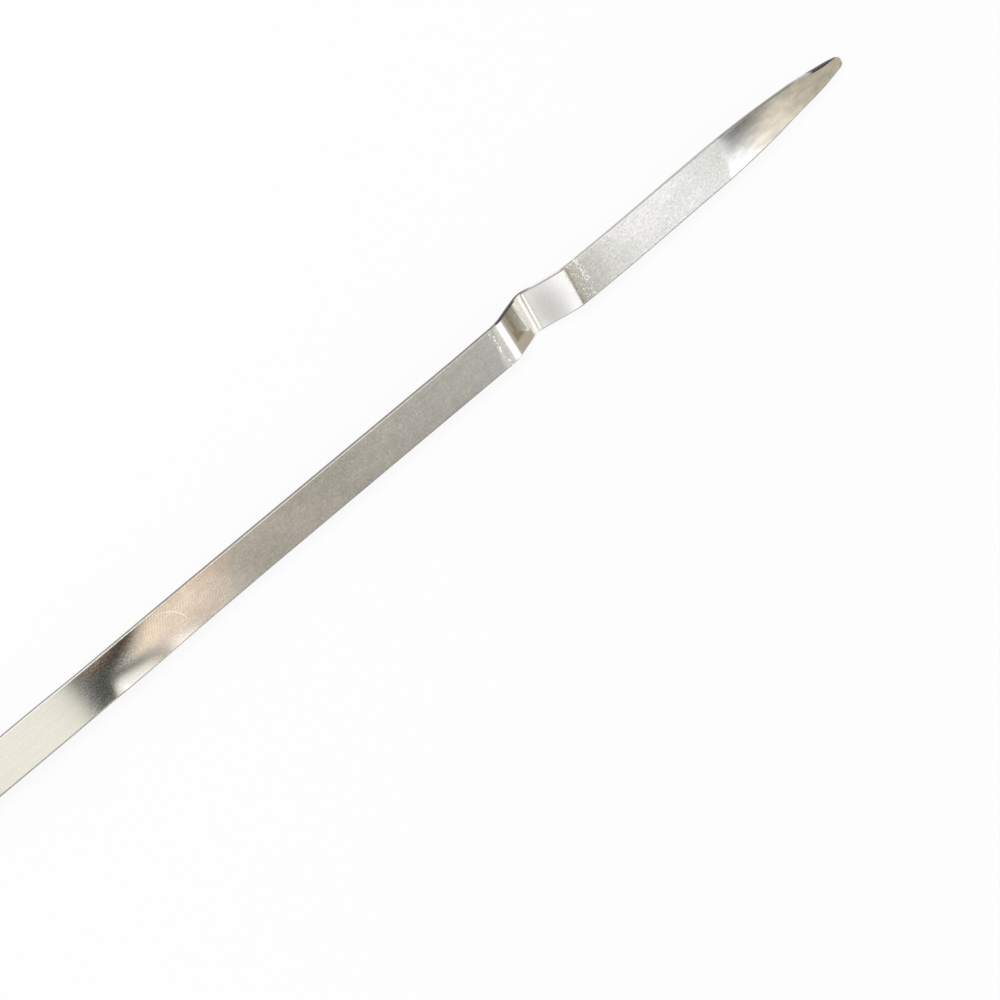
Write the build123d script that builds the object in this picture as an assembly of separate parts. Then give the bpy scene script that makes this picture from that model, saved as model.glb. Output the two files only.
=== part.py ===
"""Engine oil dipstick: a flat spring-steel blade with a moulded loop handle and a rubber seal ring.

Millimetres. The stick lies on its flat side, as it comes to rest: X runs along the blade towards its tip,
Y across it, Z up. The origin is on the floor, under the middle of the stick's length.
Pieces are drawn about the plug's axis, with X = 0 at the shoulder's seat, and put in place at the end.
"""
from build123d import *
from math import cos, degrees, radians, tan
import os

# Blade strip
strip_width = 6.35
strip_thickness = 0.8
edge_radius = 0.2
seat_to_tip = 420.0

# Pointed tip: two long arcs that meet a small round nose, on a stretch that droops a little
point_length = 29.0
nose_radius = 0.85
droop_length = 40.0
droop_radius = 420.0

# Pressed V kink, measured to the middle of the strip's thickness
kink_to_tip = 64.0
kink_depth = 3.7
kink_slope = 31.5
apex_bend_radius = 1.2
outer_bend_radius = 4.6

# Tang inside the handle, with one hole that the moulding fills
tang_width = 3.6
tang_embed = 8.0
anchor_hole_diameter = 1.8
anchor_hole_to_end = 3.2

# Tube that the plug closes, and the plug
tube_bore = 7.9
plug_clearance = 0.1
plug_length = 14.0
plug_chamfer = 0.5

# Seal ring and its groove
ring_cord = 1.5
ring_squeeze = 0.12
ring_seat_gap = 0.02
groove_width = 2.0
seat_to_groove = 2.0

# Handle
shoulder_width = 15.0
shoulder_thickness = 3.5
shoulder_corner = 1.2
neck_width = 11.0
neck_length = 6.0
neck_fillet = 1.2
loop_opening_width = 25.0
loop_opening_length = 18.0
loop_bar = 5.5
loop_fillet = 4.0
grip_round = 2.0

# Worked out from the sizes above
half_width = strip_width / 2
half_thickness = strip_thickness / 2
apex_mid_radius = apex_bend_radius + half_thickness
outer_mid_radius = outer_bend_radius + half_thickness
kink_angle = radians(kink_slope)
kink_x = seat_to_tip - kink_to_tip
kink_corner_depth = kink_depth + apex_mid_radius * (1 / cos(kink_angle) - 1)
kink_run = kink_corner_depth / tan(kink_angle)
rest_height = kink_depth + half_thickness
plug_radius = tube_bore / 2 - plug_clearance
ring_outer_radius = tube_bore / 2 + ring_squeeze
ring_centre_radius = ring_outer_radius - ring_cord / 2
groove_floor_radius = ring_outer_radius - ring_cord - ring_seat_gap
groove_x = seat_to_groove + groove_width / 2
loop_length = loop_opening_length + 2 * loop_bar
loop_width = loop_opening_width + 2 * loop_bar
handle_reach = shoulder_thickness + neck_length + loop_length
loop_x = loop_length / 2 - handle_reach
along_x = Rot(0, 90, 0)
placed = Pos((handle_reach - seat_to_tip) / 2, 0, rest_height)


def side_profile():
    """Side view of the strip: straight, V kink, straight, then the drooping tip."""
    droop_x = seat_to_tip - droop_length
    # The droop runs on past the tip, where the plan outline trims it
    droop_angle = degrees((droop_length + strip_width) / droop_radius)
    straight = FilletPolyline(
        (-tang_embed, 0),
        (kink_x - kink_run, 0),
        (kink_x, -kink_corner_depth),
        (kink_x + kink_run, 0),
        (droop_x, 0),
        radius=(outer_mid_radius, apex_mid_radius, outer_mid_radius),
    )
    droop = CenterArc((droop_x, -droop_radius), droop_radius, 90, -droop_angle)
    return Plane.XZ * trace(Curve() + [straight, droop], strip_thickness)


def plan_outline():
    """Plan of the strip: narrow tang, full width, pointed tip."""
    point_x = seat_to_tip - point_length
    nose_x = seat_to_tip - nose_radius
    # Side arc that is tangent to the strip's edge and to the nose circle
    closing = (point_length - nose_radius) ** 2 / (half_width - nose_radius)
    side_radius = (closing + half_width + nose_radius) / 2
    side_centre = Vector(point_x, half_width - side_radius)
    to_nose = (Vector(nose_x, 0) - side_centre).normalized()
    to_middle = (to_nose + Vector(0, 1)).normalized()
    meeting = side_centre + to_nose * side_radius
    edge = Polyline(
        (-tang_embed, 0),
        (-tang_embed, tang_width / 2),
        (plug_length, tang_width / 2),
        (plug_length, half_width),
        (point_x, half_width),
    )
    side = ThreePointArc((point_x, half_width), side_centre + to_middle * side_radius, meeting)
    nose = ThreePointArc(meeting, (seat_to_tip, 0), (meeting.X, -meeting.Y))
    half = Curve() + [edge, side]
    return make_face(half.edges() + nose.edges() + mirror(half, Plane.XZ).edges())


def blade():
    """Strip cut to its plan, with a hole in the tang and rounded long edges."""
    strip = extrude(side_profile(), strip_width, both=True)
    body = strip & extrude(plan_outline(), 2 * rest_height, both=True)
    body -= Pos(anchor_hole_to_end - tang_embed, 0, 0) * Cylinder(anchor_hole_diameter / 2, 2 * strip_thickness)
    outside = body.edges().filter_by_position(Axis.X, plug_length, seat_to_tip, inclusive=(False, True))
    bend_lines = outside.filter_by(Axis.Y)
    wall_lines = outside.filter_by(Axis.Z)
    return fillet(outside - bend_lines - wall_lines, edge_radius)


def upright_edges(body, y):
    """Upright edges behind the seat at plus and minus y, from the loop's end to the shoulder's."""
    edges = body.edges().filter_by(Axis.Z).filter_by_position(Axis.X, -handle_reach, 0, inclusive=(True, False))
    return edges.filter_by(lambda edge: abs(abs(edge.center().Y) - y) < 1e-4).sort_by(Axis.X)


def grip():
    """Finger loop, neck and shoulder, drawn in plan and rounded for the hand."""
    neck_reach = neck_length + loop_bar
    shoulder = Pos(-shoulder_thickness / 2, 0) * Rectangle(shoulder_thickness, shoulder_width)
    neck = Pos(-shoulder_thickness - neck_reach / 2, 0) * Rectangle(neck_reach, neck_width)
    loop = Pos(loop_x, 0) * SlotOverall(loop_width, loop_length, rotation=90)
    opening = Pos(loop_x, 0) * SlotOverall(loop_opening_width, loop_opening_length, rotation=90)
    body = extrude(shoulder + neck + loop, rest_height, both=True)
    body = fillet(upright_edges(body, neck_width / 2)[:2], loop_fillet)
    body = fillet(upright_edges(body, neck_width / 2)[-2:], neck_fillet)
    body = fillet(upright_edges(body, shoulder_width / 2), shoulder_corner)
    body -= extrude(opening, rest_height, both=True)
    rims = body.faces().filter_by(Axis.Z).edges()
    rims = rims.filter_by_position(Axis.X, -handle_reach, 0, inclusive=(True, False))
    return fillet(rims, grip_round)


def plug():
    """Round plug with a lead-in chamfer and the ring's groove, reaching back into the shoulder."""
    length = plug_length + shoulder_thickness / 2
    body = along_x * Cylinder(plug_radius, length)
    body = Pos(plug_length - length / 2, 0, 0) * body
    body = chamfer(body.edges().sort_by(Axis.X)[-1], plug_chamfer)
    collar = Cylinder(2 * plug_radius, groove_width) - Cylinder(groove_floor_radius, groove_width)
    return body - Pos(groove_x, 0, 0) * along_x * collar


def handle(tang):
    """One moulding: grip and plug, with the room that the blade's tang takes."""
    return grip() + plug() - tang


def seal_ring():
    """Rubber ring, lying on the floor of the plug's groove."""
    return Pos(groove_x, 0, 0) * along_x * Torus(ring_centre_radius, ring_cord / 2)


os.makedirs("parts", exist_ok=True)
steel = blade()
export_step(placed * steel, "parts/blade.step")
export_step(placed * handle(steel), "parts/handle.step")
export_step(placed * seal_ring(), "parts/seal_ring.step")
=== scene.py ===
"""Looks of the engine oil dipstick: satin spring-steel blade with an etched scale, moulded handle, seal ring.

Metres, in the model's own frame: X runs along the blade towards its tip, Y across it, Z up from the floor.
The blade's left side is the one at plus Y. Places along the blade are counted from its tip.
"""
from math import cos, hypot, pi, radians, sin, sqrt
from types import SimpleNamespace

import bpy
from mathutils import Matrix, Vector


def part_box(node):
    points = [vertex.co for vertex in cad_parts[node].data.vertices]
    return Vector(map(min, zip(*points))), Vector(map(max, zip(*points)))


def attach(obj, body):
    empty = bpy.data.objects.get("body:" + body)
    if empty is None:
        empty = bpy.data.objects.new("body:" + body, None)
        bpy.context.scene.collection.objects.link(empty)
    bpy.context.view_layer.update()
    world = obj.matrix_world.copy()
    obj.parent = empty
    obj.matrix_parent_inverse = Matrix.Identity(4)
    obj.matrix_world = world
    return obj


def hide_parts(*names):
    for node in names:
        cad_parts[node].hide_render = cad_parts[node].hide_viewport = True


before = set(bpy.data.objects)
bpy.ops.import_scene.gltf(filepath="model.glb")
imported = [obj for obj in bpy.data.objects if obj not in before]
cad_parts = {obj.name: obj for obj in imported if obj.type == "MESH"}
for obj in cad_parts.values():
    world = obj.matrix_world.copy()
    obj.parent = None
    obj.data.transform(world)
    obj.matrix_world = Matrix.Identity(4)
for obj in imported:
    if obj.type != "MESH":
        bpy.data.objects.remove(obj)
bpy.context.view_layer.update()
mm = 0.001


def span(*places):
    """Places that are written in millimetres."""
    return tuple(place * mm for place in places)


# Blade, as the frame holds it
blade_low, blade_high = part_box("blade")
plug_end_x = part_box("handle")[1].x
tip_x = blade_high.x
tang_end_x = blade_low.x
half_width = blade_high.y
face_z = blade_high.z

# Blade strip
half_thickness = 0.4 * mm
edge_radius = 0.2 * mm
mid_z = face_z - half_thickness
tang_half_width = 1.8 * mm
anchor_hole_radius = 0.9 * mm
anchor_hole_x = tang_end_x + 3.2 * mm
anchor_hole_facets = 32

# Pointed tip
point_length = 29 * mm
nose_radius = 0.85 * mm
droop_length = 40 * mm
droop_radius = 420 * mm

# Pressed V kink
kink_to_tip = 64 * mm
kink_depth = 3.7 * mm
apex_mid_radius = 1.6 * mm
kink_x = tip_x - kink_to_tip
# The two ramps: slope beside the apex, slope beside the outer bend, and that bend's radius
handle_ramp = (radians(30), radians(31), 6 * mm)
tip_ramp = (radians(35), radians(28), 2.6 * mm)
kink_skew = 0.06
kink_skew_stretch = span(54, 57, 64, 67)
kink_run = 6.6 * mm
pressed_x = kink_x - 0.2 * mm
press_mark_gap = 2.5 * mm

# Set that pressing and handling left in the strip: stretches from the tip where it grows, holds and fades
twist_angle = radians(10.5)
twist_stretch = span(118, 160, 168, 182)
bow_slope = radians(1.5)
bow_length = 14 * mm
# Dished across: the lift is a figure per metre times the square of the distance from the middle
dishes = (
    (4.6, span(1, 5, 22, 30)),
    (5.0, span(57, 59, 61.5, 63.8)),
    (-5.0, span(126, 136, 143, 152)),
    (0.9, span(147, 152, 160, 170)),
)
# Edges that are bent down, by a depth over a stretch, or up where the depth is negative
left_rolls = ((0.32 * mm, span(0.2, 3.5, 5.5, 9.5)),)
right_rolls = ((-0.24 * mm, span(131.5, 142, 145.8, 148.6)),)
right_roll_width = 3.2 * mm
right_roll_power = 2.4
# The left rim is a little wider than its roll is deep, and the depth is never quite zero
left_rim_share = 1.3
least_roll = 0.001 * mm
# Left side fuller at the point, and a little drawn in behind the kink
left_swells = (
    (0.18 * mm, span(-1, 2.5, 8, 13)),
    (-0.1 * mm, span(73, 80, 150, 160)),
)
# Sideways sway of the tip stretch
sways = (
    (0.17 * mm, span(4, 14, 30, 50)),
    (-0.22 * mm, span(-1, 0, 3, 12)),
)

# Spacing of the strip's points, along it and across it
tang_row_spacing = 4 * mm
tang_step = 0.02 * mm
plain_row_spacing = 2 * mm
row_spacing = 0.6 * mm
apex_rows = 12
ramp_rows = 16
bend_rows = 16
nose_row_angle = 6
corner_steps = 6
rim_width = 0.4 * mm
rim_spacing = 0.05 * mm
flat_spacing = 0.15 * mm

# Usual and middle range of a noise
noise_range = (0.3, 0.7)
noise_core = (0.35, 0.65)

# Patterns of the steel: size, how far it is drawn out along each axis, detail, and where it starts
fine_grain = (0.13 * mm, (1.5, 1, 1), 3.0)
coarse_grain = (0.32 * mm, (1.3, 1, 1), 2.0)
rolling_streaks = (0.25 * mm, (40, 1, 1), 2.0)
surface_clouds = (5 * mm, (2, 1, 1), 3.0)
tip_stains = (0.8 * mm, (2.5, 1, 1), 3.0, (2, 4, 0))
hand_smears = (1.1 * mm, (1.4, 1, 1), 3.0, (6, 1, 0))
bright_flecks = (0.14 * mm, (7, 1, 1), 1.0, (3, 5, 0))
band_grit = (0.24 * mm, (1.3, 1, 1), 2.0, (1, 8, 0))

# Tones of the steel, and tints that multiply the tone below them
grain_tones = ((0.49, 0.485, 0.47), (0.77, 0.765, 0.745))
streak_tone = (0.57, 0.56, 0.535)
mottle_tints = ((0.93, 0.935, 0.92), (1.06, 1.05, 1.055))
stain_tints = ((0.88, 0.885, 0.89), (1.1, 1.095, 1.08))
smear_tints = ((0.945, 0.935, 0.905), (1.035, 1.022, 1.0))
fleck_tone = (0.92, 0.91, 0.88)
scuff_tint = (1.07, 0.985, 0.95)
scuff_tone = (0.9, 0.88, 0.84)
scratch_tone = (0.97, 0.95, 0.9)
band_tints = ((0.94, 0.99, 1.03), (1.0, 0.83, 0.74))
grit_tints = ((0.8, 0.8, 0.8), (1.17, 1.17, 1.17))
# Painted shade on the cut walls, darkest near the tip, and a painted highlight on the wall past the apex
wall_shade_tones = ((0.24, 0.233, 0.22), (0.55, 0.545, 0.53))
wall_highlight_tone = (0.85, 0.845, 0.83)
# Painted shade on the walls at the nose and behind the apex
deep_wall_shade_tone = (0.08, 0.075, 0.07)
# Painted shade on the left rim behind the apex
rim_shade_tone = (0.06, 0.056, 0.052)
# Painted shade on the left facet at the nose
facet_shade_tone = (0.1, 0.095, 0.09)
# Painted shade as a dark line along the left edge
edge_line_shade_tone = (0.2, 0.2, 0.195)
# Painted highlight along the apex
apex_highlight_tone = (0.97, 0.96, 0.92)
# Painted shade on the ramp behind the apex
ramp_shade_tone = (0.3, 0.282, 0.23)
press_tint = (1.0, 0.99, 0.96)
pit_tone = (0.97, 0.965, 0.94)

# Satin and smooth steel: borders from the tip, with how they slant across the strip and waver
border_slant = 0.5
border_wobble = 0.6 * mm
tip_polish = span(26.9, 25.7)
kink_polish = (kink_run + 0.2 * mm, kink_run - 0.3 * mm)
twist_polish = span(136, 142)
fine_share = 0.6
smooth_speckle = 0.25
calm_grain = span(60, 75)
calm_speckle = 0.7
streak_range = (0.4, 0.65)
streak_share = 0.35
kink_streaks = 0.2

# Painted shade on the satin steel: stretches over which it fades out, each with its darkest share
fresh_shade = (span(26, 37), 0.9)
near_shade = (span(74, 84), 0.88)
far_shade = (span(84, 120), 0.86)
shade_border = span(71.9, 73.1)
smear_border = span(73, 76)
fleck_range = (0.66, 0.74)
fleck_clouds = (0.5, 0.65)
fleck_share = 0.5

# Fine curved scuffs, drawn about a point beside the strip
scuff_x = tip_x - 122 * mm
scuff_y = -9 * mm
scuff_pitch = 0.42 * mm
scuff_stretch = span(122, 127, 138, 143)
scuff_clouds = (0.42, 0.58)
scuff_rings = (0.55, 0.95)
scuff_share = 0.45
# Rings of a wave of scale 1 lie this far apart
wave_pitch = 2 * pi / 20
scuff_waver = {"Distortion": 3.5, "Detail": 3.0, "Detail Scale": 1.5}

# One longer scratch, an arc about a point of the strip
arc_x = tip_x - 137.2 * mm
arc_y = -1.75 * mm
arc_radius = 4.02 * mm
arc_half_width = 0.09 * mm
arc_fade_x = (arc_x, arc_x + 1 * mm)
arc_fade_y = span(-1.6, -0.6)
arc_share = 0.8

# Dark band of the twisted stretch, with the dented spot at its right edge
band_stretch = span(141, 145, 149, 153)
band_tint_side = span(0.3, 2.2)
band_rim = span(0.3, 0.5)
dent_stretch = span(137, 141, 148, 152)
ding_stretch = span(137, 141, 146.5, 148.5)
ding_side = span(0.4, -1.2)

# Cut walls: how far a face leans before it counts as one, their painted shade and painted highlight, and
# painted shade along the left rim
wall_lean = (0.6, 0.3)
wall_shade_change = span(75, 50)
wall_highlight_start = span(0.5, 2.5)
nose_wall_shade = span(7.6, 6.4)
rim_shade_width = span(0.22, 0.1)
rim_shade_start = span(-0.6, -1.6)
facet_shade_rim = (0.05, 0.2)
facet_shade_end = span(7, 6)
edge_line_width = span(0.35, 0.15)
edge_line_start = span(9.5, 12)
edge_line_share = 0.6

# Apex rubbed by the press and painted with a highlight, and painted shade on the ramp behind it, counted from
# the apex towards the tip
fold_lean = 0.12
rub_and_highlight_start = span(-1.8, -1.35)
rub_and_highlight_end = span(0.5, -0.1)
ramp_shade_start = span(-5.6, -4.6)
ramp_shade_end = span(-1.8, -2.15)
ramp_shade_side = span(-1.6, -0.9)
ramp_shade_range = (0.75, 1.0)
dull_bend = span(-8.4, -8.0, -7.3, -6.9)

# Rows of bright pits at the ends of the press tool
press_border = 0.3 * mm
pit_spacing = 0.4 * mm
pit_row_drift = 0.3 * mm
pit_row_width = span(0.9, 0.1)
pit_row_share = 0.45
pit_scatter = 0.27
pit_edge = (-0.04, 0.06)
# The row on the handle's side is thinner, nearer the bend and at a slant
handle_row_thinner = 1.8
handle_row_nearer = 1.1 * mm
handle_row_slant = 0.12

# Roughness and relief of the steel
smooth_roughness = 0.09
satin_roughness = 0.2
wall_roughness = 0.25
rub_roughness = 0.28
ding_roughness = 0.06
bend_roughness = 0.2
smooth_relief = 0.1
band_relief = 0.8
grain_strength = 0.2
grain_depth = 0.01 * mm

# Etched scale, centimetres from the tip
centimetre = 10 * mm
scale_first = 19
scale_last = 32
tick_floor_y = -2.75 * mm
long_tick = 1.5 * mm
short_tick = 0.8 * mm
digit_height = 3.2 * mm
digit_width = 1.6 * mm
digit_gap = 0.75 * mm
digit_floor_y = -0.75 * mm
digit_turn = 15
stroke_width = 0.34 * mm
stroke_proud = 0.012 * mm
stroke_sunk = 0.01 * mm
# Strokes that cross lie in different layers
stroke_layer = 0.003 * mm
stroke_layers = 4
oxide_tones = ((0.115, 0.052, 0.017), (0.42, 0.2, 0.06))
oxide_grain = 0.25 * mm
oxide_waver = 0.3
oxide_edge = (0.3, 0.95)
oxide_metal = 0.35
oxide_roughness = (0.4, 0.6)

# Moulded handle and its parting line
plastic_tones = ((0.76, 0.5, 0.03), (0.83, 0.58, 0.05))
plastic_clouds = (9 * mm, (1.6, 1, 1))
plastic_texture = 0.35 * mm
plastic_roughness = (0.42, 0.55)
plastic_relief = 0.4
plastic_strength = 0.6
plastic_depth = 0.05 * mm
seam_half_width = 0.11 * mm
seam_core = 0.3 * seam_half_width
seam_tone = (0.55, 0.34, 0.015)
seam_share = 0.3
seam_relief = 1.5

# Seal ring
rubber_tones = ((0.018, 0.018, 0.019), (0.05, 0.05, 0.052))
rubber_bloom = (0.9 * mm, (1, 1, 1), 4.0)
bloom_range = (0.4, 0.8)
rubber_roughness = (0.45, 0.62)

# Floor, lamp and room
floor_reach = 8.0
floor_grey = 0.95
floor_shine = 0.86
lamp_place = (-0.5, 0.9, 1.6)
lamp_size = 0.9
lamp_power = 18
room_light = 0.6
room_height = (0.72, 0.84)
room_tones = ((0.72, 0.71, 0.68), (0.46, 0.44, 0.39))
horizon_height = (0.28, 0.12)
horizon_side = (-0.6, -0.4)
horizon_tones = ((0.16, 0.155, 0.145), (0.42, 0.41, 0.39))
horizon_front = (0.6, 0.8)
horizon_front_tone = (0.67, 0.59, 0.47)

# Studio cards that the steel mirrors: level direction, radii, softness of the border, and colour
studio_cards = (
    # Cream and white cards on the left
    ((0.23, 0.096), (0.16, 0.107), 0.06, (1.38, 1.345, 1.22)),
    ((0.33, 0.45), (0.2, 0.36), 0.08, (1.42, 1.41, 1.38)),
    ((0.24, 0.22), (0.09, 0.14), 0.15, (1.8, 1.8, 1.78)),
    # Key box beyond the tip, with a cream, a beige and a dark card beside it
    ((0.55, -0.246), (0.045, 0.079), 0.32, (1.26, 1.13, 0.95)),
    ((0.44, -0.2), (0.085, 0.17), 0.3, (2.02, 2.08, 2.13)),
    ((0.61, -0.34), (0.05, 0.13), 0.3, (0.69, 0.62, 0.49)),
    ((0.507, -0.365), (0.036, 0.06), 0.4, (0.22, 0.22, 0.21)),
    # Low strip box beyond the tip
    ((0.78, -0.33), (0.11, 0.3), 0.2, (2.0, 2.0, 1.95)),
    # Back box, with a grey card before it
    ((-0.4, -0.26), (0.42, 0.13), 0.2, (1.55, 1.55, 1.55)),
    ((-0.635, -0.234), (0.08, 0.065), 0.9, (0.94, 0.92, 0.9)),
    # Dull, beige and dark cards high up
    ((0.325, -0.33), (0.05, 0.12), 0.4, (0.1, 0.097, 0.084)),
    ((0.275, -0.2), (0.08, 0.1), 0.3, (1.42, 1.22, 0.97)),
    ((0.255, -0.0445), (0.08, 0.0315), 0.15, (0.02, 0.02, 0.02)),
)

# Camera, found by laying the blade's edges over the photograph
picture_size = 1000
focal_pixels = 4230
sensor_width = 36
camera_distance = 627.6 * mm
camera_azimuth = radians(135.78)
camera_elevation = radians(60.82)
camera_roll = radians(97.63)
tip_right = 51.38 * mm
tip_up = 65.55 * mm
nearest_seen = 0.01
farthest_seen = 100


def grey(level):
    """Neutral colour."""
    return (level, level, level)


def fill(tree, socket, value):
    """Links a socket to another, or sets it to a number or a colour."""
    if isinstance(value, bpy.types.NodeSocket):
        tree.links.new(value, socket)
    elif socket.type == "RGBA":
        socket.default_value = (*value, 1)
    else:
        socket.default_value = value


def add(tree, kind, inputs=None, **settings):
    """A node with its settings, and its inputs either linked or set."""
    node = tree.nodes.new(kind)
    for name, value in settings.items():
        setattr(node, name, value)
    for key, value in (inputs or {}).items():
        fill(tree, node.inputs[key], value)
    return node


def math(tree, operation, first, second=0.0):
    """Result of one Math node."""
    return add(tree, "ShaderNodeMath", {0: first, 1: second}, operation=operation).outputs[0]


def chained(tree, operation, values):
    """Result of one operation over several values in turn."""
    result, *others = values
    for other in others:
        result = math(tree, operation, result, other)
    return result


def plus(tree, *values):
    """Sum of values."""
    return chained(tree, "ADD", values)


def minus(tree, first, second):
    """First value less the second."""
    return math(tree, "SUBTRACT", first, second)


def times(tree, *values):
    """Product of values."""
    return chained(tree, "MULTIPLY", values)


def largest(tree, *values):
    """Largest of the values."""
    return chained(tree, "MAXIMUM", values)


def rest(tree, share):
    """What a share leaves of the whole."""
    return minus(tree, 1.0, share)


def apart(tree, first, second):
    """Distance between two values."""
    return math(tree, "ABSOLUTE", minus(tree, first, second))


def linear(tree, value, low, high, to_low=0.0, to_high=1.0, course="LINEAR"):
    """Value moved evenly from one range to another and held there."""
    inputs = {"Value": value, "From Min": low, "From Max": high, "To Min": to_low, "To Max": to_high}
    return add(tree, "ShaderNodeMapRange", inputs, interpolation_type=course).outputs["Result"]


def ramped(tree, value, low, high, to_low=0.0, to_high=1.0):
    """Value moved smoothly from one range to another and held there."""
    return linear(tree, value, low, high, to_low, to_high, "SMOOTHSTEP")


def window(tree, value, places):
    """Share that grows, holds and fades at four places."""
    start, full, fades, end = places
    return times(tree, ramped(tree, value, start, full), ramped(tree, value, end, fades))


def between(tree, share, low, high):
    """Number between two numbers, by a share."""
    return linear(tree, share, 0.0, 1.0, low, high)


def mixed(tree, share, first, second, blend="MIX"):
    """Colour between two colours, by a share."""
    node = add(tree, "ShaderNodeMix", data_type="RGBA", blend_type=blend)
    for place, value in ((0, share), (6, first), (7, second)):
        fill(tree, node.inputs[place], value)
    return node.outputs[2]


def tinted(tree, share, tone, tint):
    """Tone multiplied by a tint, by a share."""
    return mixed(tree, share, tone, tint, "MULTIPLY")


def vector_math(tree, operation, first, second=(0, 0, 0)):
    """Outputs of one Vector Math node."""
    return add(tree, "ShaderNodeVectorMath", {0: first, 1: second}, operation=operation).outputs


def split(tree, place):
    """X, Y and Z of a place."""
    return add(tree, "ShaderNodeSeparateXYZ", {"Vector": place}).outputs


def noise(tree, place, size, drawn_out=(1, 1, 1), detail=3.0, start=(0, 0, 0)):
    """Noise with features of about the given size, drawn out along the axes."""
    scale = [1 / (size * share) for share in drawn_out]
    mapped = add(tree, "ShaderNodeMapping", {"Vector": place, "Scale": scale, "Location": start})
    inputs = {"Vector": mapped.outputs[0], "Scale": 1.0, "Detail": detail}
    return add(tree, "ShaderNodeTexNoise", inputs).outputs["Fac"]


def noise_between(tree, value, low, high):
    """Noise, from its usual range to another."""
    return linear(tree, value, *noise_range, low, high)


def noise_share(tree, value, low=0.0, high=1.0):
    """Noise, from its middle range to a share, with more contrast."""
    return linear(tree, value, *noise_core, low, high)


def pattern_tint(tree, place, pattern, tints):
    """Tint between two, by a pattern."""
    return mixed(tree, noise_share(tree, noise(tree, place, *pattern)), *tints)


def measure(tree, name):
    """Number that the mesh holds under a name."""
    return add(tree, "ShaderNodeAttribute", attribute_name=name).outputs["Fac"]


def new_material(name):
    """Empty node material: its tree, its surface shader and its object coordinates."""
    material = bpy.data.materials.new(name)
    material.use_nodes = True
    tree = material.node_tree
    shader = tree.nodes["Principled BSDF"]
    place = add(tree, "ShaderNodeTexCoord").outputs["Object"]
    return material, tree, shader, place


def painted(tree, shader, tone, roughness):
    """Gives a shader its tone and its roughness."""
    tree.links.new(tone, shader.inputs["Base Color"])
    tree.links.new(roughness, shader.inputs["Roughness"])


def bumped(tree, shader, height, strength, depth):
    """Gives a shader a fine relief."""
    bump = add(tree, "ShaderNodeBump", {"Height": height, "Strength": strength, "Distance": depth})
    tree.links.new(bump.outputs[0], shader.inputs["Normal"])


def steel_places(tree, place):
    """Places and patterns by which the blade's finish is laid out."""
    sides = split(tree, place)
    at = SimpleNamespace(place=place, x=sides["X"], y=sides["Y"])
    at.coarse = noise(tree, place, *coarse_grain)
    fine = noise(tree, place, *fine_grain)
    at.grain = plus(tree, times(tree, fine, fine_share), times(tree, at.coarse, 1 - fine_share))
    at.clouds = noise(tree, place, *surface_clouds)
    wobble = noise_between(tree, at.clouds, -border_wobble, border_wobble)
    slant = times(tree, at.y, border_slant)
    at.from_tip = plus(tree, minus(tree, tip_x, at.x), wobble, slant)
    at.from_tip_squarer = minus(tree, at.from_tip, times(tree, slant, 0.5))
    at.from_kink = apart(tree, at.x, pressed_x)
    at.off_apex = minus(tree, at.x, kink_x)
    at.from_left = measure(tree, "from_left")
    at.left_rim = measure(tree, "left_rim")
    return at


def steel_shares(tree, at):
    """Shares of the blade that are smooth, satin, dented or banded, added to its places."""
    at.smooth_tip = ramped(tree, at.from_tip_squarer, *tip_polish)
    at.smooth_kink = ramped(tree, at.from_kink, *kink_polish)
    smooth_twist = ramped(tree, at.from_tip, *twist_polish)
    at.satin = rest(tree, largest(tree, at.smooth_tip, at.smooth_kink, smooth_twist))
    at.ding = times(tree, window(tree, at.from_tip, ding_stretch), ramped(tree, at.y, *ding_side))
    at.off_ding = rest(tree, at.ding)
    dented = times(tree, window(tree, at.from_tip, dent_stretch), at.off_ding)
    at.rough = largest(tree, at.satin, dented)
    at.banded = window(tree, at.from_tip, band_stretch)


def rolled_tone(tree, at):
    """Tone of the rolled strip: grain, streaks along it and faint clouds."""
    speckle = noise_share(tree, at.grain, -0.5, 0.5)
    contrast = between(tree, at.rough, smooth_speckle, 1.0)
    calm = ramped(tree, at.from_tip, *calm_grain, 1.0, calm_speckle)
    tone = mixed(tree, plus(tree, times(tree, speckle, contrast, calm), 0.5), *grain_tones)
    streaks = linear(tree, noise(tree, at.place, *rolling_streaks), *streak_range, 0.0, streak_share)
    streaks = times(tree, streaks, between(tree, at.smooth_kink, 1.0, kink_streaks))
    tone = mixed(tree, streaks, tone, streak_tone)
    mottle = mixed(tree, noise_share(tree, at.clouds), *mottle_tints)
    return tinted(tree, at.satin, tone, mottle)


def faded(tree, value, shade):
    """Shade that fades out over its stretch."""
    places, darkest = shade
    return linear(tree, value, *places, darkest, 1.0)


def handled_tone(tree, at, tone):
    """Stains on the tip, painted shade behind the tip's polish and on both sides of the kink, smears behind
    it and bright flecks.
    """
    tone = tinted(tree, at.smooth_tip, tone, pattern_tint(tree, at.place, tip_stains, stain_tints))
    # Painted shade behind the tip's polish and on both sides of the kink
    tone = tinted(tree, at.satin, tone, faded(tree, at.from_tip, fresh_shade))
    shade = times(tree, faded(tree, at.from_tip, far_shade), faded(tree, at.from_tip, near_shade))
    tone = tinted(tree, ramped(tree, at.from_tip_squarer, *shade_border), tone, shade)
    behind_kink = times(tree, at.satin, ramped(tree, at.from_tip, *smear_border))
    tone = tinted(tree, behind_kink, tone, pattern_tint(tree, at.place, hand_smears, smear_tints))
    flecks = ramped(tree, noise(tree, at.place, *bright_flecks), *fleck_range)
    flecks = times(tree, flecks, ramped(tree, at.clouds, *fleck_clouds), fleck_share)
    return mixed(tree, flecks, tone, fleck_tone)


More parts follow.
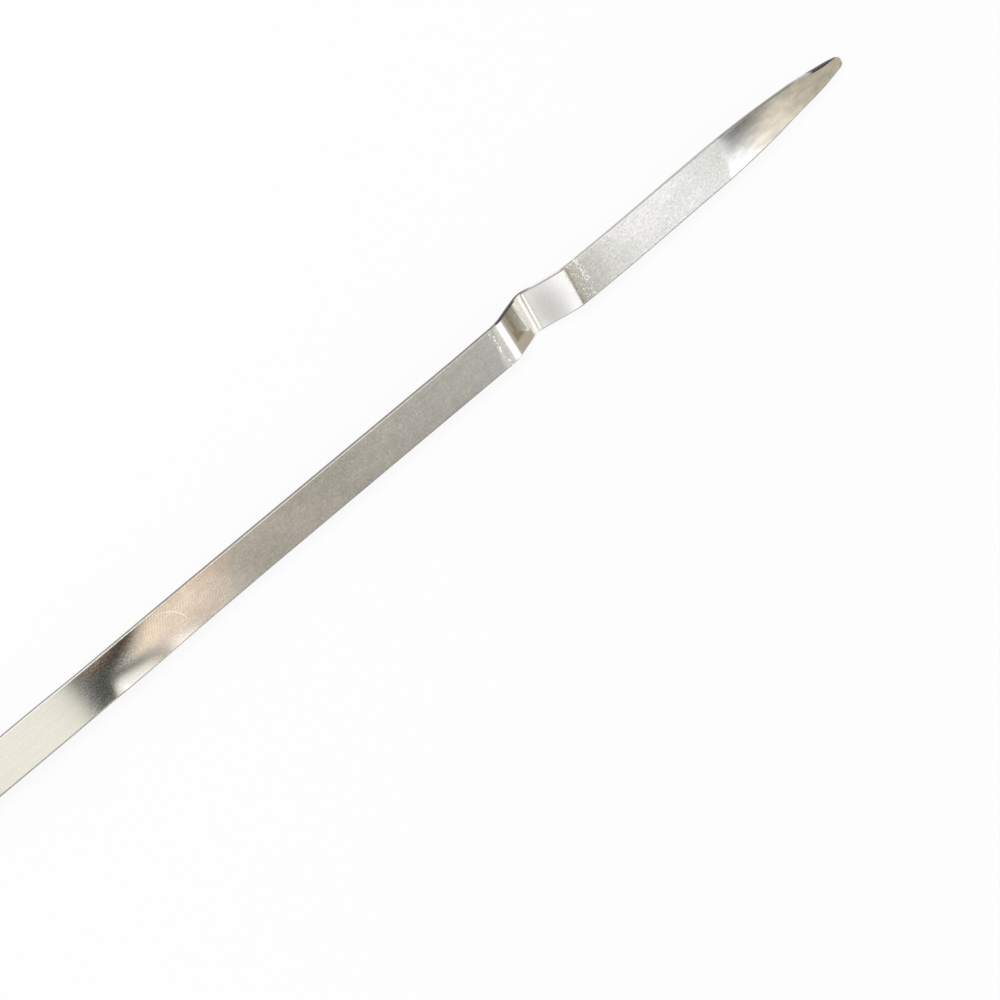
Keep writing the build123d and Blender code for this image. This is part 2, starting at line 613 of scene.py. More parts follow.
def long_scratch(tree, at):
    """Share of the longer scratch."""
    level = vector_math(tree, "MULTIPLY", at.place, (1, 1, 0))[0]
    reach = vector_math(tree, "DISTANCE", level, (arc_x, arc_y, 0))["Value"]
    groove = ramped(tree, apart(tree, reach, arc_radius), arc_half_width, 0.0)
    return times(tree, groove, ramped(tree, at.x, *arc_fade_x), ramped(tree, at.y, *arc_fade_y), arc_share)


def scuffed_tone(tree, at, tone):
    """Warm rubbed steel with fine curved scuffs in patches, and one longer scratch."""
    scuffed = window(tree, at.from_tip, scuff_stretch)
    tone = tinted(tree, scuffed, tone, scuff_tint)
    centred = add(tree, "ShaderNodeMapping", {"Vector": at.place, "Location": (-scuff_x, -scuff_y, 0)})
    wave = {"Vector": centred.outputs[0], "Scale": wave_pitch / scuff_pitch, **scuff_waver}
    rings = add(tree, "ShaderNodeTexWave", wave, wave_type="RINGS", rings_direction="Z").outputs["Fac"]
    patches = times(tree, scuffed, ramped(tree, at.clouds, *scuff_clouds))
    scuffs = times(tree, patches, ramped(tree, rings, *scuff_rings), scuff_share)
    tone = mixed(tree, scuffs, tone, scuff_tone)
    return mixed(tree, long_scratch(tree, at), tone, scratch_tone)


def banded_tone(tree, at, tone):
    """Dark band of the twisted stretch: cool on the right, warm on the left, with grit."""
    band = times(tree, at.banded, at.off_ding)
    tint = mixed(tree, ramped(tree, at.y, *band_tint_side), *band_tints)
    off_rim = ramped(tree, at.from_left, *band_rim)
    tone = tinted(tree, times(tree, band, off_rim), tone, tint)
    return tinted(tree, band, tone, pattern_tint(tree, at.place, band_grit, grit_tints))


def edged_tone(tree, at, tone):
    """Dull cut walls in painted shade, darker at the nose and behind the apex, with a painted highlight past
    the apex, and painted shade on the left rim.
    """
    normal = add(tree, "ShaderNodeNewGeometry").outputs["Normal"]
    at.wall = ramped(tree, math(tree, "ABSOLUTE", split(tree, normal)["Z"]), *wall_lean)
    past_apex = ramped(tree, at.off_apex, *wall_highlight_start)
    behind_apex = times(tree, at.smooth_kink, rest(tree, past_apex))
    # Painted shade on the walls, and a painted highlight on the wall past the apex
    wall_shading = mixed(tree, ramped(tree, at.from_tip, *wall_shade_change), *wall_shade_tones)
    wall_shading = mixed(tree, times(tree, past_apex, at.smooth_kink), wall_shading, wall_highlight_tone)
    # Painted shade on the walls at the nose and behind the apex
    deep_wall_shade = largest(tree, ramped(tree, at.from_tip, *nose_wall_shade), behind_apex)
    tone = mixed(tree, at.wall, tone, mixed(tree, deep_wall_shade, wall_shading, deep_wall_shade_tone))
    # Painted shade on the left rim behind the apex
    at.soot_rim = times(tree, ramped(tree, at.from_left, *rim_shade_width), behind_apex)
    at.soot_rim = times(tree, at.soot_rim, ramped(tree, at.off_apex, *rim_shade_start))
    tone = mixed(tree, at.soot_rim, tone, rim_shade_tone)
    # Painted shade on the left facet at the nose
    facet_shade = times(tree, ramped(tree, at.left_rim, *facet_shade_rim), ramped(tree, at.from_tip, *facet_shade_end))
    tone = mixed(tree, facet_shade, tone, facet_shade_tone)
    # Painted shade as a dark line along the left edge
    edge_line_shade = times(tree, ramped(tree, at.from_left, *edge_line_width), ramped(tree, at.from_tip, *edge_line_start))
    return mixed(tree, times(tree, edge_line_shade, at.smooth_tip, edge_line_share), tone, edge_line_shade_tone)


def apex_tone(tree, at, tone):
    """Apex rubbed by the press and painted with a bright highlight, and painted shade on the ramp behind it.
    """
    off_wall = rest(tree, largest(tree, at.wall, at.soot_rim))
    off_fold = plus(tree, at.off_apex, times(tree, at.y, fold_lean))
    # Painted highlight along the rubbed apex
    at.rub = times(tree, ramped(tree, off_fold, *rub_and_highlight_start), ramped(tree, at.off_apex, *rub_and_highlight_end), off_wall)
    tone = mixed(tree, at.rub, tone, apex_highlight_tone)
    # Painted shade on the ramp behind the apex
    ramp_shade = times(tree, ramped(tree, at.off_apex, *ramp_shade_start), ramped(tree, off_fold, *ramp_shade_end))
    ramp_shade = times(tree, ramp_shade, ramped(tree, at.y, *ramp_shade_side), off_wall)
    ramp_shade = times(tree, ramp_shade, noise_between(tree, at.coarse, *ramp_shade_range))
    return mixed(tree, ramp_shade, tone, ramp_shade_tone)


def pressed_tone(tree, at, tone):
    """Warm strip that the press left on the tip's side, and a row of bright pits on each side."""
    away = minus(tree, at.from_kink, kink_run)
    tip_side = math(tree, "GREATER_THAN", at.x, kink_x)
    pressed = ramped(tree, away, press_mark_gap, press_mark_gap - press_border)
    pressed = times(tree, pressed, at.satin, tip_side)
    tone = tinted(tree, pressed, tone, press_tint)
    nearer = minus(tree, handle_row_nearer, times(tree, at.y, handle_row_slant))
    nearer = times(tree, rest(tree, tip_side), nearer)
    drift = noise_between(tree, at.clouds, -pit_row_drift, pit_row_drift)
    off_row = apart(tree, plus(tree, away, drift, nearer), press_mark_gap)
    off_row = times(tree, off_row, between(tree, tip_side, handle_row_thinner, 1.0))
    pit_row = ramped(tree, off_row, *pit_row_width, 0.0, pit_row_share)
    reach = largest(tree, pit_row, times(tree, pressed, pit_scatter))
    cells = add(tree, "ShaderNodeTexVoronoi", {"Vector": at.place, "Scale": 1 / pit_spacing})
    pits = ramped(tree, minus(tree, reach, cells.outputs["Distance"]), *pit_edge)
    return mixed(tree, pits, tone, pit_tone)


def steel_roughness(tree, at):
    """Roughness of the steel: satin or smooth, and more on walls, at the apex, the ding and the bend."""
    rough = between(tree, at.satin, smooth_roughness, satin_roughness)
    bend = window(tree, at.off_apex, dull_bend)
    for share, more in (
        (at.wall, wall_roughness),
        (at.rub, rub_roughness),
        (at.ding, ding_roughness),
        (bend, bend_roughness),
    ):
        rough = plus(tree, rough, times(tree, share, more))
    return rough


def blade_steel():
    """Satin cold-rolled strip, rubbed smooth at the tip, over the kink and from the twist on."""
    material, tree, shader, place = new_material("blade_steel_satin")
    at = steel_places(tree, place)
    steel_shares(tree, at)
    tone = rolled_tone(tree, at)
    for work in (handled_tone, scuffed_tone, banded_tone, edged_tone, apex_tone, pressed_tone):
        tone = work(tree, at, tone)
    painted(tree, shader, tone, steel_roughness(tree, at))
    shader.inputs["Metallic"].default_value = 1.0
    relief = plus(tree, between(tree, at.rough, smooth_relief, 1.0), times(tree, at.banded, band_relief))
    bumped(tree, shader, times(tree, at.grain, relief), grain_strength, grain_depth)
    return material


def etched_oxide():
    """Brown laser oxide: darker along the middle of a stroke, amber at its edges, a little uneven."""
    material, tree, shader, place = new_material("etched_oxide")
    burn = noise(tree, place, oxide_grain)
    off_middle = math(tree, "ABSOLUTE", measure(tree, "across"))
    core = plus(tree, off_middle, noise_between(tree, burn, -oxide_waver, oxide_waver))
    tone = mixed(tree, ramped(tree, core, *oxide_edge), *oxide_tones)
    painted(tree, shader, tone, noise_between(tree, burn, *oxide_roughness))
    shader.inputs["Metallic"].default_value = oxide_metal
    return material


def handle_plastic():
    """Yellow moulded plastic: fine eroded texture, faint flow clouds, a parting line round its middle."""
    material, tree, shader, place = new_material("handle_yellow_plastic")
    clouds = noise(tree, place, *plastic_clouds)
    eroded = noise(tree, place, plastic_texture)
    tone = mixed(tree, noise_between(tree, clouds, 0.0, 1.0), *plastic_tones)
    seam = ramped(tree, apart(tree, split(tree, place)["Z"], mid_z), seam_half_width, seam_core)
    tone = mixed(tree, times(tree, seam, seam_share), tone, seam_tone)
    painted(tree, shader, tone, noise_between(tree, eroded, *plastic_roughness))
    height = plus(tree, times(tree, eroded, plastic_relief), times(tree, seam, seam_relief))
    bumped(tree, shader, height, plastic_strength, plastic_depth)
    return material


def seal_rubber():
    """Black moulded rubber with a faint bloom."""
    material, tree, shader, place = new_material("seal_black_rubber")
    bloom = noise(tree, place, *rubber_bloom)
    tone = mixed(tree, linear(tree, bloom, *bloom_range), *rubber_tones)
    painted(tree, shader, tone, noise_between(tree, bloom, *rubber_roughness))
    return material


def evenly(start, end, spacing):
    """Values from start to end, about the spacing apart, both ends included."""
    steps = max(1, round(abs(end - start) / spacing))
    return [start + (end - start) * i / steps for i in range(steps + 1)]


def smooth_step(value, low, high):
    """0 below low, 1 above high, smooth between."""
    share = min(max((value - low) / (high - low), 0.0), 1.0)
    return share * share * (3 - 2 * share)


def share_along(x, places):
    """Share of a set at x: it grows, holds and fades at four places from the tip."""
    from_tip = tip_x - x
    return smooth_step(from_tip, *places[:2]) - smooth_step(from_tip, *places[2:])


def set_along(x, sets):
    """Depth at x of sets that add up."""
    return sum(depth * share_along(x, places) for depth, places in sets)


def row_half_width(x):
    """Half width of the strip: narrow in the handle, full, then a long arc, then the round nose."""
    point_x = tip_x - point_length
    nose_x = tip_x - nose_radius
    closing = (point_length - nose_radius) ** 2 / (half_width - nose_radius)
    side_radius = (closing + half_width + nose_radius) / 2
    side_y = half_width - side_radius
    meeting_x = nose_x + nose_radius * (nose_x - point_x) / hypot(nose_x - point_x, side_y)
    if x <= plug_end_x:
        return tang_half_width
    if x <= point_x:
        return half_width
    if x <= meeting_x:
        return side_y + sqrt(side_radius ** 2 - (x - point_x) ** 2)
    return sqrt(max(nose_radius ** 2 - (x - nose_x) ** 2, 0.0))


def row_thickness(x):
    """Share of the strip's thickness, rounded off at the very tip."""
    from_edge = min(max(tip_x - x, 0.0), edge_radius)
    rounding = edge_radius - sqrt(edge_radius ** 2 - (edge_radius - from_edge) ** 2)
    return 1 - rounding / half_thickness


def turned(start, slope, next_slope, length, steps):
    """Points of a stretch that turns evenly from one slope to the next, without its start."""
    points = []
    for i in range(1, steps + 1):
        turn = slope + (next_slope - slope) * (i - 0.5) / steps
        start = start + length / steps * Vector((cos(turn), sin(turn)))
        points.append(start)
    return points


def kink_side(ramp, end_slope):
    """Points (x, z) from the kink's lowest point up one ramp and round its outer bend, x counted outwards."""
    low, high, outer_radius = ramp
    climb = kink_depth - apex_mid_radius * (1 - cos(low)) - outer_radius * (cos(end_slope) - cos(high))
    ramp_length = climb / sin((low + high) / 2)
    points = [Vector((0, mid_z - kink_depth))]
    points += turned(points[-1], 0, low, apex_mid_radius * low, apex_rows)
    points += turned(points[-1], low, high, ramp_length, ramp_rows)
    points += turned(points[-1], high, end_slope, outer_radius * (high - end_slope), bend_rows)
    return points


def tip_rows(start):
    """Points (x, z) from the kink to the nose: the strip rises less and less, then droops."""
    droop_x = tip_x - droop_length
    nose_x = tip_x - nose_radius
    nose_angles = range(nose_row_angle, 90, nose_row_angle)
    nose_rows = [nose_x + nose_radius * sin(radians(angle)) for angle in nose_angles]
    rows = []
    for x in evenly(start.x, nose_x, row_spacing)[1:] + nose_rows:
        bow_left = max(1 - (x - start.x) / bow_length, 0.0)
        rise = bow_slope * bow_length / 3 * (1 - bow_left ** 3)
        past = max(x - droop_x, 0.0)
        fall = droop_radius - sqrt(droop_radius ** 2 - past ** 2)
        rows.append(Vector((x, start.y + rise - fall)))
    return rows


def blade_path():
    """Points (x, z) along the middle of the strip, from the tang's end to the nose."""
    down = [Vector((kink_x - point.x, point.y)) for point in kink_side(handle_ramp, 0)]
    up = [Vector((kink_x + point.x, point.y)) for point in kink_side(tip_ramp, bow_slope)]
    set_x = tip_x - twist_stretch[-1]
    straight = evenly(tang_end_x, plug_end_x, tang_row_spacing)
    straight += evenly(plug_end_x + tang_step, set_x, plain_row_spacing)[:-1]
    straight += evenly(set_x, down[-1].x, row_spacing)[:-1]
    rows = [Vector((x, mid_z)) for x in straight]
    return rows + down[::-1] + up[1:] + tip_rows(up[-1])


def linked(name, data):
    """Object of some data, put into the scene."""
    piece = bpy.data.objects.new(name, data)
    bpy.context.scene.collection.objects.link(piece)
    return piece


def line_object(name, lines, closed=False):
    """Object that holds bare lines, each a list of points."""
    points = []
    edges = []
    for line in lines:
        first = len(points)
        last = first + len(line) - 1
        edges += [(i, i + 1) for i in range(first, last)]
        if closed:
            edges.append((last, first))
        points += line
    mesh = bpy.data.meshes.new(name)
    mesh.from_pydata(points, edges, [])
    return linked(name, mesh)


def strip_section():
    """Section of the strip: a rectangle with round corners, and points along its flats."""
    inner_y = half_width - edge_radius
    inner_z = half_thickness - edge_radius
    rim = evenly(inner_y, inner_y - rim_width, rim_spacing)[1:]
    middle = evenly(rim[-1], -rim[-1], flat_spacing)[1:-1]
    flat = rim + middle + [-y for y in reversed(rim)]
    points = []
    for quarter, (side_y, side_z) in enumerate(((1, 1), (-1, 1), (-1, -1), (1, -1))):
        for i in range(corner_steps + 1):
            angle = radians(90 * quarter + 90 / corner_steps * i)
            y = side_y * inner_y + edge_radius * cos(angle)
            z = side_z * inner_z + edge_radius * sin(angle)
            points.append((y, z, 0))
        if side_y == side_z:
            points += [(side_y * y, side_z * half_thickness, 0) for y in flat]
    return line_object("strip_section", [points], closed=True)


def new_tree(name, values):
    """Empty geometry tree with a named input for each value, and what comes in by them."""
    tree = bpy.data.node_groups.new(name, "GeometryNodeTree")
    tree.interface.new_socket("Geometry", in_out="INPUT", socket_type="NodeSocketGeometry")
    tree.interface.new_socket("Geometry", in_out="OUTPUT", socket_type="NodeSocketGeometry")
    for label, value in values.items():
        kind = "NodeSocket" + type(value).__name__.title()
        tree.interface.new_socket(label, in_out="INPUT", socket_type=kind)
    return tree, tree.nodes.new("NodeGroupInput").outputs


def close_tree(tree, geometry, material):
    """Realize Instances and Set Material, into the tree's output."""
    real = add(tree, "GeometryNodeRealizeInstances", {"Geometry": geometry})
    coated = add(tree, "GeometryNodeSetMaterial", {"Geometry": real.outputs[0], "Material": material})
    add(tree, "NodeGroupOutput", {0: coated.outputs[0]})


def row(tree, name):
    """Number that each row of points holds under a name."""
    node = add(tree, "GeometryNodeInputNamedAttribute", {"Name": name}, data_type="FLOAT")
    return node.outputs["Attribute"]


def stored(tree, geometry, name, value):
    """Geometry that holds a number on each point under a name."""
    inputs = {"Geometry": geometry, "Name": name, "Value": value}
    return add(tree, "GeometryNodeStoreNamedAttribute", inputs, data_type="FLOAT").outputs[0]


def vector(tree, **parts):
    """Vector of the given parts."""
    return add(tree, "ShaderNodeCombineXYZ", parts).outputs[0]


def ribbon(tree, line, section):
    """Section swept along a line, upright all the way and closed at its ends."""
    upright = add(tree, "GeometryNodeSetCurveNormal", {"Curve": line}, mode="Z_UP")
    inputs = {"Curve": upright.outputs[0], "Profile Curve": section, "Fill Caps": True}
    return add(tree, "GeometryNodeCurveToMesh", inputs).outputs[0]


def drawn_in(tree, given, y):
    """Place across the strip, drawn in to the row's half width with its round edge kept."""
    off_middle = math(tree, "ABSOLUTE", y)
    flat = minus(tree, given["Half Width"], given["Edge Radius"])
    row_flat = largest(tree, minus(tree, row(tree, "row_half_width"), given["Edge Radius"]), 0.0)
    row_edge = minus(tree, row(tree, "row_half_width"), row_flat)
    on_flat = linear(tree, off_middle, 0.0, flat, 0.0, row_flat)
    on_edge = linear(tree, off_middle, flat, given["Half Width"], 0.0, row_edge)
    return times(tree, plus(tree, on_flat, on_edge), math(tree, "SIGN", y))


def bent(tree, given, z, across, from_left):
    """Height over the strip's middle: dished, with its edges bent, and how near the left rim it is.

    The left edge is bent as a facet as wide as it is deep, the right one in a wide round.
    """
    lift = times(tree, minus(tree, z, row(tree, "row_middle")), row(tree, "row_thickness"))
    dish = times(tree, across, across, row(tree, "row_dish"))
    depth = largest(tree, row(tree, "row_left_roll"), given["Least Roll"])
    facet = times(tree, linear(tree, from_left, 0.0, depth, 1.0, 0.0), row(tree, "row_left_roll"))
    rim = linear(tree, from_left, 0.0, times(tree, depth, given["Left Rim Share"]), 1.0, 0.0)
    from_right = plus(tree, row(tree, "row_half_width"), across)
    curl = linear(tree, from_right, 0.0, given["Right Roll Width"], 1.0, 0.0)
    curl = times(tree, math(tree, "POWER", curl, given["Right Roll Power"]), row(tree, "row_right_roll"))
    return minus(tree, minus(tree, plus(tree, lift, dish), facet), curl), rim


def drilled(tree, given, body):
    """Body with the tang's hole."""
    inputs = {"Vertices": anchor_hole_facets, "Radius": given["Hole Radius"], "Depth": given["Hole Depth"]}
    drill = add(tree, "GeometryNodeMeshCylinder", inputs)
    place = vector(tree, X=given["Hole X"], Z=given["Middle Z"])
    drill = add(tree, "GeometryNodeTransform", {"Geometry": drill.outputs[0], "Translation": place})
    meshes = {"Mesh 1": body, "Mesh 2": drill.outputs[0]}
    return add(tree, "GeometryNodeMeshBoolean", meshes, operation="DIFFERENCE").outputs[0]


def strip_tree(values):
    """Sweeps the section along the path, draws the sides in to each row's half width, bends and twists it."""
    tree, given = new_tree("swept_strip", values)
    path = add(tree, "GeometryNodeMeshToCurve", {"Mesh": given["Geometry"]})
    section = add(tree, "GeometryNodeObjectInfo", {"Object": given["Section"]})
    outline = add(tree, "GeometryNodeMeshToCurve", {"Mesh": section.outputs["Geometry"]})
    swept = ribbon(tree, path.outputs[0], outline.outputs[0])
    place = split(tree, add(tree, "GeometryNodeInputPosition").outputs[0])
    across = drawn_in(tree, given, place["Y"])
    from_left = minus(tree, row(tree, "row_half_width"), across)
    lift, rim = bent(tree, given, place["Z"], across, from_left)
    along = plus(tree, place["X"], times(tree, across, row(tree, "row_skew")))
    swayed = plus(tree, across, row(tree, "row_sway"))
    drawn = vector(tree, X=along, Y=swayed, Z=plus(tree, row(tree, "row_middle"), lift))
    # The strip is twisted about its left edge
    centre = vector(tree, Y=given["Half Width"], Z=row(tree, "row_middle"))
    turn = {"Vector": drawn, "Center": centre, "Angle": row(tree, "row_twist")}
    twisted = add(tree, "ShaderNodeVectorRotate", turn, rotation_type="X_AXIS")
    measured = stored(tree, stored(tree, swept, "left_rim", rim), "from_left", from_left)
    shaped = add(tree, "GeometryNodeSetPosition", {"Geometry": measured, "Position": twisted.outputs[0]})
    body = drilled(tree, given, shaped.outputs[0])
    smooth = add(tree, "GeometryNodeSetShadeSmooth", {"Geometry": body})
    close_tree(tree, smooth.outputs[0], given["Material"])
    return tree


def finished(host, name, tree, values, weighted=False):
    """Plain mesh object made by a geometry tree on a host line, which is then removed."""
    modifier = host.modifiers.new(name, "NODES")
    modifier.node_group = tree
    for socket in tree.interface.items_tree:
        if socket.name in values:
            modifier[socket.identifier] = values[socket.name]
    if weighted:
        host.modifiers.new("flat_faces_first", "WEIGHTED_NORMAL")
    host.update_tag()
    bpy.context.view_layer.update()
    evaluated = host.evaluated_get(bpy.context.evaluated_depsgraph_get())
    mesh = bpy.data.meshes.new_from_object(evaluated)
    bpy.data.objects.remove(host)
    mesh.name = name
    return linked(name, mesh)


def blade_strip(material):
    """The blade: the strip swept along its path, pointed at the tip and narrow in the handle."""
    rows = blade_path()
    places = [point.x for point in rows]
    path = line_object("blade_path", [[(point.x, 0, point.y) for point in rows]])
    # The left side alone swells: half of it goes to the half width, half to the sway
    swells = [set_along(x, left_swells) / 2 for x in places]
    numbers = {
        "row_half_width": [row_half_width(x) + swell for x, swell in zip(places, swells)],
        "row_sway": [set_along(x, sways) + swell for x, swell in zip(places, swells)],
        "row_middle": [point.y for point in rows],
        "row_thickness": [row_thickness(x) for x in places],
        "row_twist": [-twist_angle * share_along(x, twist_stretch) for x in places],
        "row_skew": [kink_skew * share_along(x, kink_skew_stretch) for x in places],
        "row_dish": [set_along(x, dishes) for x in places],
        "row_left_roll": [set_along(x, left_rolls) for x in places],
        "row_right_roll": [set_along(x, right_rolls) for x in places],
    }
    for name, row_numbers in numbers.items():
        path.data.attributes.new(name, "FLOAT", "POINT").data.foreach_set("value", row_numbers)
    section = strip_section()
    values = {
        "Section": section,
        "Half Width": half_width,
        "Edge Radius": edge_radius,
        "Least Roll": least_roll,
        "Left Rim Share": left_rim_share,
        "Right Roll Width": right_roll_width,
        "Right Roll Power": right_roll_power,
        "Hole X": anchor_hole_x,
        "Hole Radius": anchor_hole_radius,
        "Hole Depth": 4 * half_thickness,
        "Middle Z": mid_z,
        "Material": material,
    }
    strip = finished(path, "blade_strip", strip_tree(values), values, weighted=True)
    bpy.data.objects.remove(section)
    return strip


def arc(centre_x, centre_y, radius_x, radius_y, start, end):
    """Points of an oval arc in a digit's box, angles in degrees."""
    turns = [radians(turn) for turn in evenly(start, end, digit_turn)]
    return [(centre_x + radius_x * cos(turn), centre_y + radius_y * sin(turn)) for turn in turns]


def digit_strokes():
    """Single strokes of the ten digits, each in a box one wide and one high."""
    six = [arc(0.5, 0.31, 0.5, 0.31, 0, 360), arc(0.95, 0.31, 0.95, 0.71, 105, 180)]
    return {
        "0": [arc(0.5, 0.5, 0.5, 0.5, 0, 360)],
        "1": [[(0.2, 0.76), (0.55, 1)], [(0.55, 1), (0.55, 0)]],
        "2": [arc(0.5, 0.72, 0.5, 0.28, 170, -35) + [(0, 0)], [(0, 0), (1, 0)]],
        "3": [arc(0.45, 0.74, 0.5, 0.26, 150, -90), arc(0.45, 0.24, 0.55, 0.24, 90, -150)],
        "4": [[(0.72, 0), (0.72, 1)], [(0.72, 1), (0, 0.3)], [(0, 0.3), (1, 0.3)]],
        "5": [[(0.92, 1), (0.15, 1)], [(0.15, 1), (0.09, 0.54)], arc(0.47, 0.32, 0.53, 0.32, 137, -150)],
        "6": six,
        "7": [[(0, 1), (1, 1)], [(1, 1), (0.35, 0)]],
        "8": [arc(0.5, 0.76, 0.42, 0.24, 0, 360), arc(0.5, 0.26, 0.5, 0.26, 0, 360)],
        "9": [[(1 - x, 1 - y) for x, y in stroke] for stroke in six],
    }


def number_strokes():
    """Strokes of the scale's numbers on the blade's upper face, each number over its own tick."""
    shapes = digit_strokes()
    strokes = []
    for number in range(scale_first, scale_last + 1):
        label = str(number)
        left = tip_x - number * centimetre - (len(label) * (digit_width + digit_gap) - digit_gap) / 2
        for place, digit in enumerate(label):
            corner_x = left + place * (digit_width + digit_gap)
            for shape in shapes[digit]:
                stroke = [(corner_x + digit_width * x, digit_floor_y + digit_height * y) for x, y in shape]
                strokes.append(stroke)
    return strokes


def tick_row(tree, given, first_x, length, count):
    """Row of ticks, one step apart."""
    start = vector(tree, X=first_x, Y=given["Floor Y"], Z=given["Ribbon Z"])
    line = {"Count": count, "Start Location": start, "Offset": vector(tree, X=given["Step"])}
    places = add(tree, "GeometryNodeMeshLine", line)
    ends = {"Start": (0, 0, 0), "End": vector(tree, Y=length)}
    tick = add(tree, "GeometryNodeCurvePrimitiveLine", ends)
    inputs = {"Points": places.outputs[0], "Instance": tick.outputs[0]}
    ticks = add(tree, "GeometryNodeInstanceOnPoints", inputs)
    return add(tree, "GeometryNodeRealizeInstances", {"Geometry": ticks.outputs[0]}).outputs[0]


def scale_tree(values):
    """Sweeps strokes and two rows of ticks as thin flat ribbons."""
    tree, given = new_tree("etched_ribbons", values)
    strokes = add(tree, "GeometryNodeMeshToCurve", {"Mesh": given["Geometry"]}).outputs[0]
    short_x = plus(tree, given["First X"], times(tree, given["Step"], 0.5))
    long_ticks = tick_row(tree, given, given["First X"], given["Long Tick"], given["Count"])
    short_ticks = tick_row(tree, given, short_x, given["Short Tick"], minus(tree, given["Count"], 1.0))
    joined = add(tree, "GeometryNodeJoinGeometry")
    for lines in (strokes, long_ticks, short_ticks):
        tree.links.new(lines, joined.inputs[0])
    box = {"Width": given["Stroke Width"], "Height": given["Stroke Height"]}
    section = add(tree, "GeometryNodeCurvePrimitiveQuadrilateral", box)
    place = split(tree, add(tree, "GeometryNodeInputPosition").outputs[0])
    across = math(tree, "DIVIDE", place["X"], times(tree, given["Stroke Width"], 0.5))
    section = stored(tree, section.outputs[0], "across", across)
    close_tree(tree, ribbon(tree, joined.outputs[0], section), given["Material"])
    return tree


def etched_scale(material):
    """Centimetre scale that a laser has etched on the blade's upper face."""
    ribbon_z = face_z + (stroke_proud - stroke_sunk) / 2
    lines = []
    for number, stroke in enumerate(number_strokes()):
        z = ribbon_z + number % stroke_layers * stroke_layer
        lines.append([(x, y, z) for x, y in stroke])
    values = {
        "Stroke Width": stroke_width,
        "Stroke Height": stroke_proud + stroke_sunk,
        "First X": tip_x - scale_last * centimetre,
        "Floor Y": tick_floor_y,
        "Ribbon Z": ribbon_z,
        "Step": centimetre,
        "Count": scale_last - scale_first + 1,
        "Long Tick": long_tick,
        "Short Tick": short_tick,
        "Material": material,
    }
    host = line_object("scale_strokes", lines)
    return finished(host, "etched_scale", scale_tree(values), values)


def floor_white():
    """Paper that shows white to the camera and in the steel, and keeps a faint shadow."""
    material = bpy.data.materials.new("floor_white")
    material.use_nodes = True
    tree = material.node_tree
    tree.nodes.clear()
    ray = add(tree, "ShaderNodeLightPath").outputs
    seen = largest(tree, ray["Is Camera Ray"], ray["Is Glossy Ray"], ray["Is Transmission Ray"])
    paper = add(tree, "ShaderNodeBsdfDiffuse", {"Color": grey(floor_grey)})
    shine = add(tree, "ShaderNodeEmission", {"Color": grey(1.0), "Strength": 1.0})
    shown = {0: times(tree, seen, floor_shine), 1: paper.outputs[0], 2: shine.outputs[0]}
    add(tree, "ShaderNodeOutputMaterial", {"Surface": add(tree, "ShaderNodeMixShader", shown).outputs[0]})
    return material


def floor_plane():
    """Large pale floor."""
    mesh = bpy.data.meshes.new("floor")
    corners = [(x * floor_reach, y * floor_reach, 0) for x, y in ((-1, -1), (1, -1), (1, 1), (-1, 1))]
    mesh.from_pydata(corners, [], [(0, 1, 2, 3)])
    mesh.materials.append(floor_white())
    floor = linked("floor", mesh)


def card(tree, place, below, centre, radii, soft, colour):
    """Soft oval card of the studio, by the level direction in which it hangs, over what is below it."""
    offset = vector_math(tree, "SUBTRACT", place, (*centre, 0))[0]
    scaled = vector_math(tree, "MULTIPLY", offset, (1 / radii[0], 1 / radii[1], 0))[0]
    length = vector_math(tree, "LENGTH", scaled)["Value"]
    return mixed(tree, ramped(tree, length, 1 + soft, 1 - soft), below, colour)


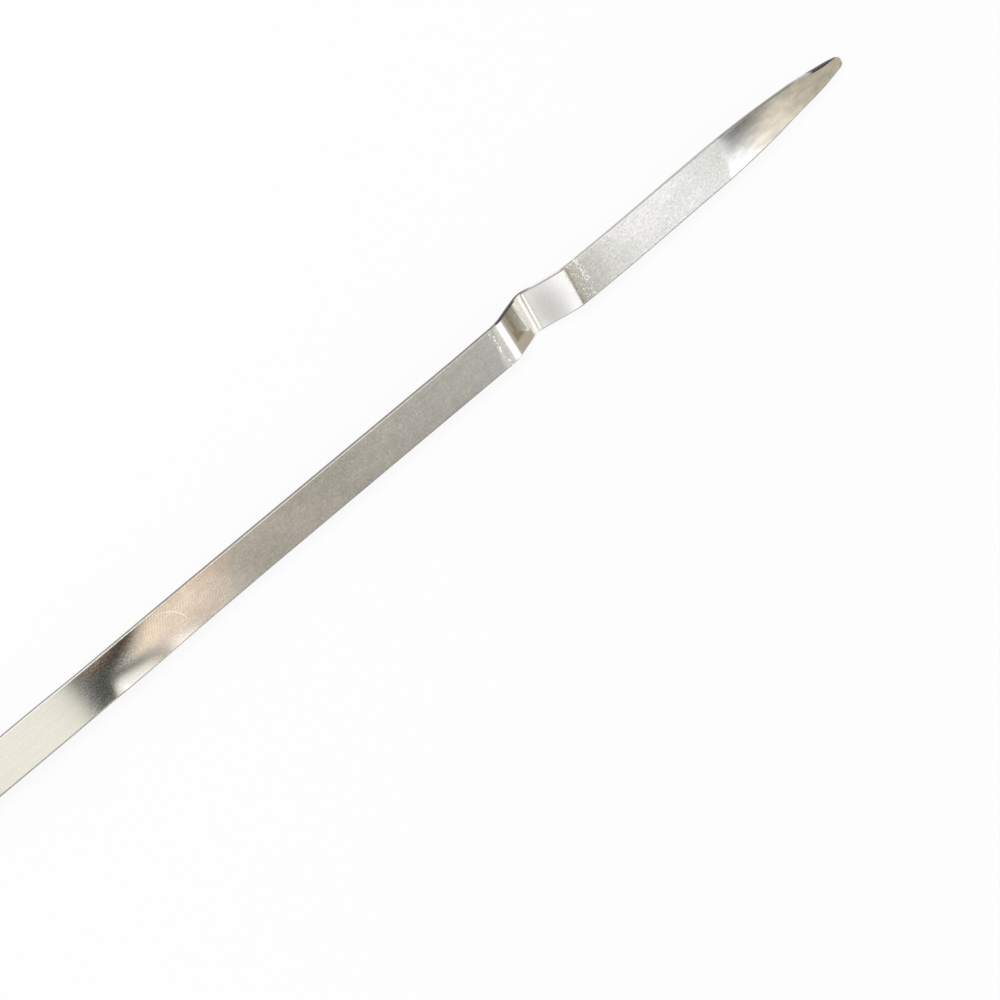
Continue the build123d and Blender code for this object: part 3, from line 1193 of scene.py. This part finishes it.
def studio_world():
    """White to the camera, an even pale grey as light, and a room with soft cards that the steel mirrors."""
    world = bpy.data.worlds.new("studio")
    bpy.context.scene.world = world
    world.use_nodes = True
    tree = world.node_tree
    tree.nodes.clear()
    place = add(tree, "ShaderNodeTexCoord").outputs["Generated"]
    side = split(tree, place)
    room = mixed(tree, ramped(tree, side["Z"], *room_height), *room_tones)
    for centre, radii, soft, colour in studio_cards:
        room = card(tree, place, room, centre, radii, soft, colour)
    horizon = mixed(tree, ramped(tree, side["Y"], *horizon_side), *horizon_tones)
    horizon = mixed(tree, ramped(tree, side["X"], *horizon_front), horizon, horizon_front_tone)
    room = mixed(tree, ramped(tree, side["Z"], *horizon_height), room, horizon)
    ray = add(tree, "ShaderNodeLightPath").outputs
    glow = mixed(tree, ray["Is Glossy Ray"], grey(room_light), room)
    glow = mixed(tree, ray["Is Camera Ray"], glow, grey(1.0))
    back = add(tree, "ShaderNodeBackground", {"Color": glow, "Strength": 1.0})
    add(tree, "ShaderNodeOutputWorld", {"Surface": back.outputs[0]})


def soft_lamp(name, place, size, power):
    """Large soft lamp that points at the middle of the part."""
    light = bpy.data.lights.new(name, "AREA")
    light.shape = "DISK"
    light.size = size
    light.energy = power
    lamp = linked(name, light)
    lamp.location = place
    lamp.rotation_euler = (-Vector(place)).to_track_quat("-Z", "Y").to_euler()
    lamp.visible_glossy = False


def photo_camera():
    """Camera at the photograph's place: above the blade, looking down along it from the left."""
    level_reach = cos(camera_elevation)
    outward = Vector((
        level_reach * cos(camera_azimuth),
        level_reach * sin(camera_azimuth),
        sin(camera_elevation),
    ))
    level = Vector((0, 0, 1)).cross(outward).normalized()
    steep = outward.cross(level)
    right = cos(camera_roll) * level + sin(camera_roll) * steep
    up = cos(camera_roll) * steep - sin(camera_roll) * level
    centre = Vector((tip_x, 0, mid_z)) - tip_right * right - tip_up * up
    turn = Matrix((right, up, outward)).transposed().to_4x4()
    data = bpy.data.cameras.new("photo_camera")
    data.sensor_width = sensor_width
    data.lens = focal_pixels * sensor_width / picture_size
    data.clip_start = nearest_seen
    data.clip_end = farthest_seen
    camera = linked("photo_camera", data)
    camera.matrix_world = Matrix.Translation(centre + camera_distance * outward) @ turn
    bpy.context.scene.camera = camera


blade = blade_strip(blade_steel())
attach(blade, "root")
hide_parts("blade")
scale = etched_scale(etched_oxide())
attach(scale, "root")
for node, material in (("handle", handle_plastic()), ("seal_ring", seal_rubber())):
    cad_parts[node].material_slots[0].material = material

floor_plane()
studio_world()
soft_lamp("key_lamp", lamp_place, lamp_size, lamp_power)
photo_camera()
bpy.context.scene.view_settings.view_transform = "Standard"
